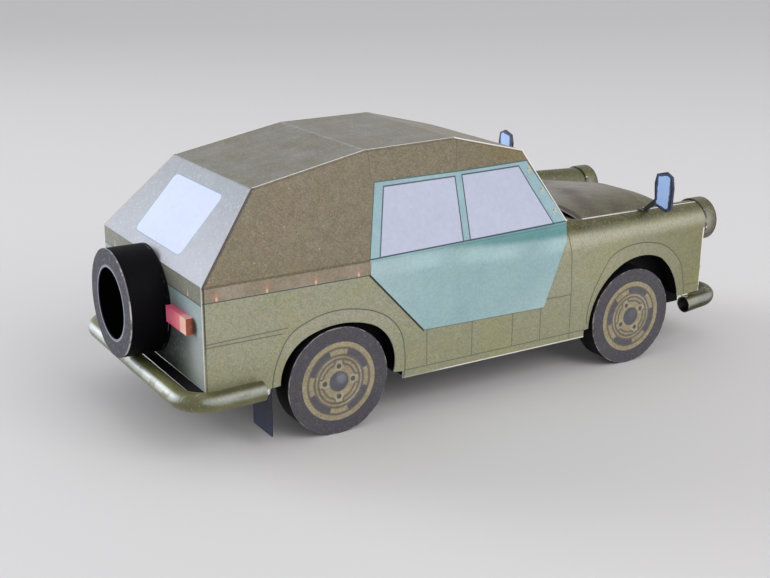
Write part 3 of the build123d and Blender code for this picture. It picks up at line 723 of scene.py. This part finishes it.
def hood_material():
    """Domed hood with printed shading that sweeps from the windscreen's foot; its crown is painted light,
    its sides are painted shade, and a painted shadow lies along its rear edge.
    """
    card = Card("hood_card", 0.5, 0.3)
    card.up = card.half
    brushed = card.noise(3.0, 4.0, (0.3, 1.2, 1.0))
    # painted shade: the dome darkens outboard towards the wings, its crown painted lighter
    outboard = card.half + card.x.times_plus(0.35, -14.0)
    card.colour = card.mix(outboard.ramp(3.0, 19.0), hood_crown_light, hood_side_shade)
    card.paint(card.noise(7.0, 4.0).ramp(0.4, 0.7) * 0.35, hood_patch)
    card.paint(brushed.ramp(0.42, 0.75) * 0.3, hood_brown)
    for first, last, width in hood_streaks:
        streak = card.segment(first, last)[0].ramp(width, 0.2)
        card.paint(streak * brushed.ramp(-0.2, 0.55) * 0.55, hood_brown)
    # painted shadow of the gap under the hood's rear edge, a dark crescent
    across = (card.half - 19.0) * (1 / 6.5)
    rear_edge_shadow = (card.x - 28.5) - (across * across).times_plus(-2.2, 2.2)
    card.paint(rear_edge_shadow.ramp(0.6, -0.4) * 0.9, hood_rear_shadow)
    nose_line = (card.x - 65.2).stripe(0.2)
    card.paint(nose_line * 0.7, seam_ink)
    card.colour = card.grain(card.dots(card.colour, hood_dot, 0.12, 0.4, 0.4), 0.06, 0.03, 0.36, 0.04)
    return card.done(card.cut(abs(card.nx).ramp(0.75, 0.85).most(card.nz.ramp(-0.2, -0.4))))


def cowl_material():
    """Strip under the windscreen."""
    card = Card("cowl_card", 0.5)
    card.colour = card.mix(card.half.ramp(12.0, 22.0), hood_brown, cowl_olive)
    card.colour = card.grain(card.colour, 0.08, 0.03)
    return card.done(card.cut(card.nz.ramp(-0.2, -0.4)))


def wing_inner_material():
    """Inner part of the wing roll."""
    card = Card("wing_inner_card", 0.44)
    card.colour = card.mix(card.z.ramp(36.6, 34.5), inner_olive, inner_pale)
    card.colour = card.dots(card.colour, inner_dot, 0.15, 0.4, 0.4)
    card.colour = card.grain(card.colour, 0.07, 0.03, 0.36)
    roll_edge = (card.half - roll_end(card)).ramp(-0.16, -0.06) * card.x.ramp(28.0, 28.6)
    return card.done(card.cut(abs(card.nx).ramp(0.75, 0.85).most(roll_edge)))


def rear_panel_material():
    """Rear panel with the canopy's band along its top; painted shade inboard behind the spare wheel, beside
    the lamps and low down, and painted light towards its corners and top.
    """
    card = Card("rear_panel_card", 0.44)
    card.across = card.half
    # painted shade inboard, where the spare wheel shades the panel, and painted light towards the corners
    # and the top
    card.colour = card.mix(card.half.ramp(16.5, 25.0), panel_shade_green, panel_corner_light)
    card.paint(card.z.ramp(23.0, 31.0) * 0.8, panel_top_light)
    lamp_shade = card.spot(23.2, 27.4, 1.0, 1.5).ramp(0.6, -0.4)
    card.paint(lamp_shade * 0.85, panel_shadow)
    # painted shade low down and inboard, under the spare wheel and the bumper
    card.paint(card.linear_of(-1.0, -0.8, 33.0).ramp(-2.0, 6.0) * 0.75, panel_low_shade)
    card.paint(card.noise(10.0, 3.0).ramp(0.4, 0.7) * 0.4, panel_moss)
    card.colour = card.grain(card.dots(card.colour, panel_dot, 0.12, 0.4, 0.4), 0.05, 0.02, 0.36)
    band = card.grain(card.dots(panel_band, band_dot_pale, 0.2, 0.4, 0.5), 0.10, 0.04, 0.4)
    pin = card.spot(20.4, 33.9, 0.16, 0.6).least(card.spot(20.4, 33.4, 0.3, 0.25))
    band = card.mix(pin.ink(0.2) * 0.8, band, fastener_light)
    card.paint((card.z - panel_band_foot).ink().no(), band)
    card.paint((card.z - panel_band_foot).stripe(0.24), ink_slate)
    edge = abs(card.nx).ramp(0.5, 0.6).no()
    return card.done(card.cut(edge))


def front_panel_material():
    """Nose panel with a plain slatted grille printed between the lamps."""
    card = Card("front_panel_card", 0.46)
    card.across = card.half
    card.colour = olive_dots(card, olive_base(card))
    grille = card.shape(grille_corners, 1.2)
    slats = (card.z * (2 * math.pi / slat_pitch)).do("SINE").ramp(-0.1, 0.3)
    dark = card.mix(slats, slat_dark, slat_pale)
    card.paint(grille.ink(), card.grain(dark, 0.06, 0.02))
    card.paint(grille.stripe(0.35), grille_ink)
    marker = card.spot(*front_marker)
    card.paint(marker.ink(), card.grain(lamp_orange, 0.05, 0.02))
    card.paint(marker.stripe(0.22), seam_ink)
    card.paint((card.z - 19.2).stripe(0.2), seam_ink)
    return card.done(card.cut(abs(card.nx).ramp(0.5, 0.6).no()))


def wheel_material(end, turn):
    """Printed wheel face: tyre, ochre rim with dark slots, bolts and hub cap with a painted highlight."""
    card = Card("wheel_print_" + end, 0.52, 0.35)
    reach, angle = card.polar(axle_x[end], axle_z)
    fold = (angle - turn).do("PINGPONG", 45.0) * (math.pi / 180)
    ahead, aside = reach * fold.do("COSINE"), reach * fold.do("SINE")
    rim = card.mix(card.noise(3.0, 2.0).ramp(0.4, 0.65) * 0.5, ochre, rim_patch)
    worn_ring = abs(reach - 5.3).ramp(0.7, 0.1) * card.noise(5.0, 2.0).ramp(0.4, 0.6)
    rim = card.mix(worn_ring * 0.7, rim, rim_worn)
    card.colour = card.mix((reach - tyre_inner).ink(), tyre_grey, rim)
    slot_edge = slot_reach * math.radians(45 - slot_half_angle)
    slot_side = fold.times_plus(-slot_reach, slot_edge)
    slot = (abs(reach - slot_reach) - slot_half).do("SMOOTH_MAX", slot_side, 0.7)
    card.paint(slot.ink(0.25), hub_grey)
    pocket = (aside - pocket_half).most(abs(reach - 3.6) - 1.0)
    card.paint(pocket.ink(0.3) * 0.55, pocket_pale)
    rings = (reach - arc_reach).stripe(0.44, 0.26) * (aside - pocket_half).ramp(-0.05, 0.05)
    for radius in ring_reaches:
        rings = rings.most((reach - radius).stripe(0.5, 0.3))
    rings = rings.most((aside - pocket_half).stripe(0.42, 0.26) * (abs(reach - 4.4) - 0.5).ink())
    card.paint(rings * 0.85, ring_brown)
    out = ahead - bolt_reach
    bolt = (out * out + aside * aside).do("SQRT") - bolt_radius
    card.paint(bolt.ink(0.12), bolt_brown)
    hub = reach - hub_radius
    # painted highlight on the hub cap, strong on the rear wheels and faint on the front
    cap_highlight_spot = card.spot(axle_x[end] + 0.6, axle_z + 0.6, 0.5)
    cap = card.mix(cap_highlight_spot.ramp(1.2, 0.0) * (0.8 if end == "rear" else 0.25), hub_grey, cap_highlight)
    card.paint(hub.ink(0.2), cap)
    card.colour = card.dots(card.colour, tyre_pale, 0.2, 0.33, 0.25)
    card.colour = card.dots(card.colour, tyre_dark, 0.2, 0.3, 0.25)
    blotch = card.noise(1.7, 2.0)
    card.paint(blotch.ramp(0.5, 0.64) * 0.16, tyre_purple)
    card.paint(blotch.ramp(0.48, 0.36) * 0.2, tyre_green)
    card.colour = card.grain(card.colour, 0.13, 0.06, 0.3, 0.06)
    edge = abs(card.ny).ramp(0.5, 0.6).no()
    worn = card.noise(2.2, 2.0).ramp(0.45, 0.6)
    rub = (reach - wheel_rub_reach).ramp(0.0, 0.12) * card.noise(1.6, 2.0).ramp(0.5, 0.6) * 0.3
    return card.done(card.cut((edge * worn.times_plus(0.5, 0.1)).most(rub)))


def spare_face_material():
    """Open ring of the spare wheel."""
    card = Card("spare_face_card", 0.5, 0.3)
    up = card.z - spare_height
    reach = (card.y * card.y + up * up).do("SQRT")
    card.colour = card.grain(card.dots(spare_grey, spare_dot, 0.15, 0.4, 0.4), 0.05, 0.03, 0.36)
    card.paint((reach - spare_rim_reach).ink(0.15), card.grain(spare_rim, 0.05, 0.02))
    edge = abs(card.nx).ramp(0.5, 0.6).no()
    card.paint(edge * (reach - spare_edge_reach).ink(), spare_side)
    worn = card.noise(3.0, 2.0).ramp(0.48, 0.6)
    rub = (reach - spare_rub_reach).ramp(0.0, 0.15) * worn * 0.5
    rim = edge * (reach - spare_edge_reach).ink().no() * worn.times_plus(0.5, 0.2)
    return card.done(card.cut(rim.most(rub)))


def black_material(name, roughness=0.6):
    """Black printed card of treads, wells and the floor."""
    card = Card(name, roughness, 0.2)
    card.colour = card.mix(card.noise(5.0, 3.0).ramp(0.4, 0.7) * 0.5, black_ink, black_patch)
    return card.done(card.grain(card.colour, 0.16, 0.04, 0.4))


def spare_tread_material():
    """Spare wheel's band, its paper showing in places along both glued edges."""
    card = Card("spare_tread_card", 0.6, 0.06)
    card.colour = card.grain(black_ink, 0.14, 0.04, 0.5)
    worn = card.noise(4.0, 2.0).ramp(0.5, 0.6)
    line = (card.x + 68.0).stripe(0.16).most((card.x + 75.8).stripe(0.2) * 0.8)
    return card.done(card.mix(line * worn * 0.6, card.colour, paper_worn))


def tail_lamp_material():
    """Folded lamp box: red inner half that pales towards an orange outer half; the end face is painted dark
    next to the panel as shadow.
    """
    card = Card("tail_lamp_card", 0.4)
    card.colour = card.mix(card.half.ramp(13.5, 19.4), lamp_red, lamp_pink)
    card.paint((card.half - lamp_split).ramp(-0.15, 0.15), lamp_orange)
    middle = abs(card.z - lamp_height).ramp(0.2, 1.7).no()
    card.paint(middle * 0.3, lamp_middle)
    card.paint(abs(card.ny).ramp(0.5, 0.6) * (card.half - lamp_split).ramp(0.0, 0.1), lamp_end)
    # painted shadow on the end face next to the panel
    end_shadow_share = abs(card.ny).ramp(0.5, 0.6) * (card.x + 68.1).ramp(0.0, 0.7)
    card.paint(end_shadow_share * 0.6, lamp_end_shadow)
    card.paint(card.nz.ramp(0.5, 0.6) * 0.5, lamp_top)
    return card.done(card.grain(card.dots(card.colour, lamp_dot, 0.14, 0.4, 0.4), 0.05, 0.03, 0.36))


def mirror_material():
    """Door mirror, pale blue glass in a dark hand-cut frame."""
    card = Card("mirror_card", 0.4)
    card.across = card.half
    wobble = (card.noise(0.9, 2.0) - 0.5) * 0.5
    glass = card.shape(mirror_glass, 0.3) + wobble
    ink = card.grain(card.mix(card.half.ramp(27.9, 27.4), mirror_ink, mirror_arm), 0.12, 0.03)
    card.colour = card.mix(glass.ink(0.12), ink, card.grain(mirror_blue, 0.04, 0.02, 0.5, 0.03))
    card.paint((glass - 0.28).stripe(0.22) * card.noise(1.5).ramp(0.35, 0.6), mirror_rim)
    rough_edge = abs(card.ny).ramp(0.4, 0.5) * card.noise(0.7, 2.0).ramp(0.5, 0.6) * 0.5
    card.paint(card.nx.ramp(-0.6, -0.5), ink)
    return card.done(card.mix(rough_edge, card.colour, mirror_rim))


def flap_material():
    """Mud flap, darker towards its top."""
    card = Card("flap_card", 0.5, 0.35)
    card.colour = card.mix(card.z.ramp(10.0, 3.0), flap_navy, flap_blue)
    return card.done(card.grain(card.colour, 0.08, 0.03))


def bumper_material(end, base, shade):
    """Glossy printed tube with a painted highlight along its outer side and painted shade on its arms' tops
    and in its bore; its ends show a little paper.
    """
    card = Card("bumper_card_" + end, 0.4, 0.5 if end == "rear" else 0.25)
    card.shader.inputs["Coat Weight"].default_value = 0.3 if end == "rear" else 0.1
    card.shader.inputs["Coat Roughness"].default_value = 0.34
    out, height, cross, rise, tip = tubes[end]
    card.colour = card.mix(card.noise(6.0, 3.0, (0.5, 0.5, 1.5)).ramp(0.35, 0.65), shade, base)
    turned_out = (card.ny * card.y.do("SIGN")).most(card.nx * (-1.0 if end == "rear" else 1.0))
    # painted highlight along the tube's outer upper side
    gleam = (turned_out * 0.90 + card.nz * 0.44).ramp(0.84, 0.99) * card.noise(3.0, 2.0).ramp(0.2, 0.5)
    on_arm = abs(card.x - cross).ramp(2.5, 5.5).most(0.0 if end == "rear" else 1.0)
    # painted shade on the arms' tops
    card.paint(card.nz.ramp(0.55, 0.95) * on_arm * 0.7, tube_shade)
    on_cross = abs(card.x - cross).ramp(5.0, 2.0)
    strength = on_cross.times_plus(0.3, 0.26) if end == "rear" else 0.34
    card.paint(gleam * strength, tube_painted_highlight)
    card.colour = card.grain(card.dots(card.colour, tube_dot, 0.12, 0.36, 0.15), 0.08, 0.03, 0.36)
    at_bend = abs(card.x - cross).ramp(4.5, 2.0) * abs(card.half - out).ramp(4.5, 1.5)
    cracks = card.noise(1.3, 3.0, (1.0, 2.5, 0.7)).ramp(0.6, 0.68)
    card.paint(at_bend * cracks * 0.55, tube_crack)
    axis = (card.x - cross).times_plus(rise, height)
    aside, up = card.half - out, card.z - axis
    from_axis = (aside * aside + up * up).do("SQRT")
    # painted shade in the bore near the open ends, and the same dark on the end rims
    deep = (abs(card.x - tip) - tube_bore_depth).ink(0.2)
    card.paint((from_axis - tube_bore).ink(0.1) * deep, bore_shade)
    rim = abs(card.nx).ramp(0.8, 0.9) * deep
    card.paint(rim * 0.8, bore_shade)
    torn = (abs(card.x - tip) - 0.3).ink(0.2) * card.noise(0.9, 2.0).ramp(0.55, 0.62) * 0.5
    card.colour = card.cut(torn * (from_axis - tube_bore).ramp(0.0, 0.1))
    return card.done(card.colour, 0.06, 0.008)


def lens_material():
    """Printed headlamp lens with rings and ribs."""
    card = Card("lens_card", 0.3)
    out, up = card.half - headlamp_out, card.z - headlamp_height
    reach = (out * out + up * up).do("SQRT")
    ribs = (out * (2 * math.pi / lens_rib_pitch)).do("SINE").ramp(-0.6, 0.6)
    card.colour = card.mix(ribs * 0.35, lens_pale, lens_rib)
    card.paint((reach - lens_ring_reach).stripe(0.25), lens_ring)
    card.paint((reach - lens_ring_reach).ramp(0.0, 0.4), lens_rim)
    return card.done(card.grain(card.colour, 0.03, 0.01))


def ring_material():
    """Headlamp ring rolled from olive card, its glued seam worn in dashes, with a painted highlight along
    its sides.
    """
    card = Card("lamp_ring_card", 0.4)
    # painted highlight in a band round the ring's middle height, stronger towards its back
    gleam = abs(card.z - 31.8).ramp(0.4, 4.4).no() * card.x.ramp(69.6, 67.8).times_plus(0.75, 0.25)
    card.colour = card.mix(gleam, ring_olive, ring_painted_highlight)
    card.paint(card.noise(4.0, 3.0).ramp(0.45, 0.7) * 0.4, ring_moss)
    card.colour = card.grain(card.dots(card.colour, ring_dot, 0.12, 0.4, 0.4), 0.07, 0.03, 0.36)
    back = card.x.times_plus(-1.0, ring_back)
    dark = back.ramp(-0.25, 0.0) * card.noise(1.4, 1.0).ramp(0.4, 0.5)
    card.paint(dark * 0.8, ring_rim)
    card.paint(card.x.ramp(ring_front, ring_front + 0.25) * 0.8, ring_rim)
    white = back.ramp(-0.22, -0.12) * card.noise(1.0, 1.0).ramp(0.6, 0.64) * card.z.ramp(35.5, 34.0)
    edge = card.nx.ramp(0.7, 0.8) * card.noise(1.2, 2.0).ramp(0.4, 0.6) * 0.4
    return card.done(card.cut(white.most(edge)))


def wood_material():
    """Round wooden axle."""
    card = Card("axle_wood", 0.6)
    grain = card.noise(0.5, 3.0, (1.0, 0.06, 1.0)).ramp(0.35, 0.65)
    return card.done(card.mix(grain, wood_light, wood_dark))


dress(side_material(), "side")
dress(door_material(), "door_skin")
dress(canopy_material(), "canopy_top")
dress(windscreen_material(), "windscreen")
dress(hood_material(), "hood")
dress(cowl_material(), "cowl")
dress(wing_inner_material(), "wing_inner")
dress(front_panel_material(), "front_panel")
dress(rear_panel_material(), "rear_panel")
dress(black_material("well_card"), "wheel_well_rear", "wheel_well_front", "floor_pan", "spare_back")
treads = [f"wheel_{part}_{end}" for part in ("tread", "back") for end in axle_x]
dress(black_material("tread_card"), *treads)
dress(spare_tread_material(), "spare_tread")
dress(spare_face_material(), "spare_face")
for end, turn in wheel_turns.items():
    dress(wheel_material(end, turn), "wheel_face_" + end)
dress(tail_lamp_material(), "tail_lamp")
dress(mirror_material(), "mirror")
dress(flap_material(), "mud_flap")
dress(bumper_material("rear", tube_olive, tube_dark), "bumper_rear")
# the front tube's darker patches take the painted shade colour
dress(bumper_material("front", tube_brown, tube_shade), "bumper_front")
dress(lens_material(), "headlamp_lens")
dress(ring_material(), "headlamp_ring")
dress(wood_material(), "axle_rear", "axle_front")


def tab_material(name, ink, pale):
    """Small loose bit of card, its ink worn at the rims."""
    card = Card(name, 0.55, 0.3)
    card.colour = card.mix(card.noise(0.8, 3.0).ramp(0.4, 0.6), ink, pale)
    card.colour = card.grain(card.colour, 0.1, 0.03, 0.3)
    return card.done(card.cut(card.noise(0.5, 2.0).ramp(0.62, 0.7)))


def curled_tab(name, path, width_way, widths, thickness, material):
    """Thin curled strip along a path in the print's millimetres, as a closed mesh."""
    points = [Vector((x + print_zero, y, z)) for x, y, z in path]
    width_way = Vector(width_way).normalized()
    corners, faces = [], []
    for at, (point, width) in enumerate(zip(points, widths)):
        tangent = points[min(at + 1, len(points) - 1)] - points[max(at - 1, 0)]
        over = tangent.cross(width_way).normalized() * (thickness / 2)
        out = width_way * (width / 2)
        corners += [(point + shift) / 1000 for shift in (-out - over, out - over, out + over, -out + over)]
    for at in range(0, len(corners) - 4, 4):
        faces += [(at + a, at + (a + 1) % 4, at + 4 + (a + 1) % 4, at + 4 + a) for a in range(4)]
    last = len(corners) - 4
    faces += [(3, 2, 1, 0), (last, last + 1, last + 2, last + 3)]
    mesh = bpy.data.meshes.new(name)
    mesh.from_pydata(corners, [], faces)
    mesh.materials.append(material)
    piece = bpy.data.objects.new(name, mesh)
    bpy.context.scene.collection.objects.link(piece)
    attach(piece, "body")


def crown_height(side, x, y):
    """Height of a side's curled crown over a point, in millimetres."""
    start = Vector(((x + print_zero) / 1000, y / 1000, 0.05))
    return nodes[side].ray_cast(start, Vector((0, 0, -1)))[1].z * 1000


def mirror_feet():
    """Split foot of each mirror's arm, folded flat on the wing's crown."""
    material = tab_material("mirror_foot_card", foot_ink, foot_pale)
    for side, sign in (("left", 1), ("right", -1)):
        for end, (out, xs, lifts) in foot_rows.items():
            heights = [crown_height("side_" + side, x, sign * out) for x in xs]
            path = [(x, sign * out, height + lift) for x, height, lift in zip(xs, heights, lifts)]
            name = f"mirror_foot_{end}_{side}"
            curled_tab(name, path, (0, 1, 0), foot_widths, 0.25, material)


def torn_tabs():
    """Bits of paper torn loose at two of the tubes' ends."""
    material = tab_material("torn_card", torn_pale, torn_shade)
    for end, (path, width_way, widths) in torn_rows.items():
        curled_tab("torn_tab_" + end, path, width_way, widths, 0.2, material)


def black_strips():
    """Black card under the rear panel's edge, and inside the wings ahead of the front wheels."""
    material = black_material("black_strips")
    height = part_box("rear_panel")[0].z * 1000 - 0.2
    shelf = [(shelf_x, side, height) for side in shelf_sides]
    widths = [shelf_depth] * len(shelf)
    curled_tab("panel_shelf", shelf, (1, 0, 0), widths, 0.25, material)
    for side, sign in (("right", -1), ("left", 1)):
        apron = [(x, sign * apron_half, apron_middle) for x in apron_xs]
        widths = [apron_depth] * len(apron)
        curled_tab("front_apron_" + side, apron, (0, 0, 1), widths, 0.3, material)


def pale_floor():
    """Wide plain floor under the model."""
    mesh = bpy.data.meshes.new("floor")
    signs = ((-1, -1), (1, -1), (1, 1), (-1, 1))
    corners = [(across * floor_reach, along * floor_reach, 0) for across, along in signs]
    mesh.from_pydata(corners, [], [(0, 1, 2, 3)])
    floor = bpy.data.objects.new("floor", mesh)
    bpy.context.scene.collection.objects.link(floor)
    material = bpy.data.materials.new("floor_pale")
    material.use_nodes = True
    shader = material.node_tree.nodes["Principled BSDF"]
    shader.inputs["Base Color"].default_value = floor_colour
    shader.inputs["Roughness"].default_value = 0.7
    mesh.materials.append(material)


def pale_world():
    """Even light from all round, and a pale background for the camera."""
    world = bpy.data.worlds.new("studio")
    bpy.context.scene.world = world
    world.use_nodes = True
    tree = world.node_tree
    tree.nodes.clear()
    seen, light = tree.nodes.new("ShaderNodeBackground"), tree.nodes.new("ShaderNodeBackground")
    seen.inputs[0].default_value, seen.inputs[1].default_value = backdrop_colour, 1.0
    light.inputs[0].default_value, light.inputs[1].default_value = world_colour, world_level
    path, mix = tree.nodes.new("ShaderNodeLightPath"), tree.nodes.new("ShaderNodeMixShader")
    out = tree.nodes.new("ShaderNodeOutputWorld")
    shown = tree.nodes.new("ShaderNodeMath")
    shown.operation = "MAXIMUM"
    tree.links.new(path.outputs["Is Camera Ray"], shown.inputs[0])
    tree.links.new(path.outputs["Is Glossy Ray"], shown.inputs[1])
    tree.links.new(shown.outputs[0], mix.inputs[0])
    tree.links.new(light.outputs[0], mix.inputs[1])
    tree.links.new(seen.outputs[0], mix.inputs[2])
    tree.links.new(mix.outputs[0], out.inputs[0])


def soft_lamp(name, place, size, spread, power, colour):
    """Square soft lamp aimed at the model's middle, its light kept within a cone."""
    lamp = bpy.data.lights.new(name, "AREA")
    lamp.shape, lamp.size, lamp.energy, lamp.color = "SQUARE", size, power, colour
    lamp.spread = math.radians(spread)
    holder = bpy.data.objects.new(name, lamp)
    holder.location = place
    holder.rotation_mode = "QUATERNION"
    holder.rotation_quaternion = (Vector((0, 0, 0.03)) - Vector(place)).to_track_quat("-Z", "Y")
    holder.visible_camera = False
    bpy.context.scene.collection.objects.link(holder)


def photo_camera():
    """Camera at the photograph's place, direction and roll."""
    azimuth, elevation, roll = (math.radians(a) for a in (camera_azimuth, camera_elevation, camera_roll))
    level = Vector((math.sin(azimuth), -math.cos(azimuth), 0))
    back = level * math.cos(elevation) + Vector((0, 0, math.sin(elevation)))
    right = (-back).cross(Vector((0, 0, 1))).normalized()
    up = right.cross(-back)
    side = right * math.cos(roll) + up * math.sin(roll)
    top = up * math.cos(roll) - right * math.sin(roll)
    data = bpy.data.cameras.new("camera")
    data.lens, data.sensor_width, data.sensor_fit = camera_lens, sensor_width, "HORIZONTAL"
    data.clip_start, data.clip_end = 0.01, 50.0
    camera = bpy.data.objects.new("camera", data)
    camera.matrix_world = Matrix.Translation(camera_place) @ Matrix((side, top, back)).transposed().to_4x4()
    bpy.context.scene.collection.objects.link(camera)
    bpy.context.scene.camera = camera


mirror_feet()
torn_tabs()
black_strips()
pale_floor()
pale_world()
for name, row in lamps.items():
    soft_lamp(name, *row)
photo_camera()
bpy.context.scene.view_settings.view_transform = "Standard"
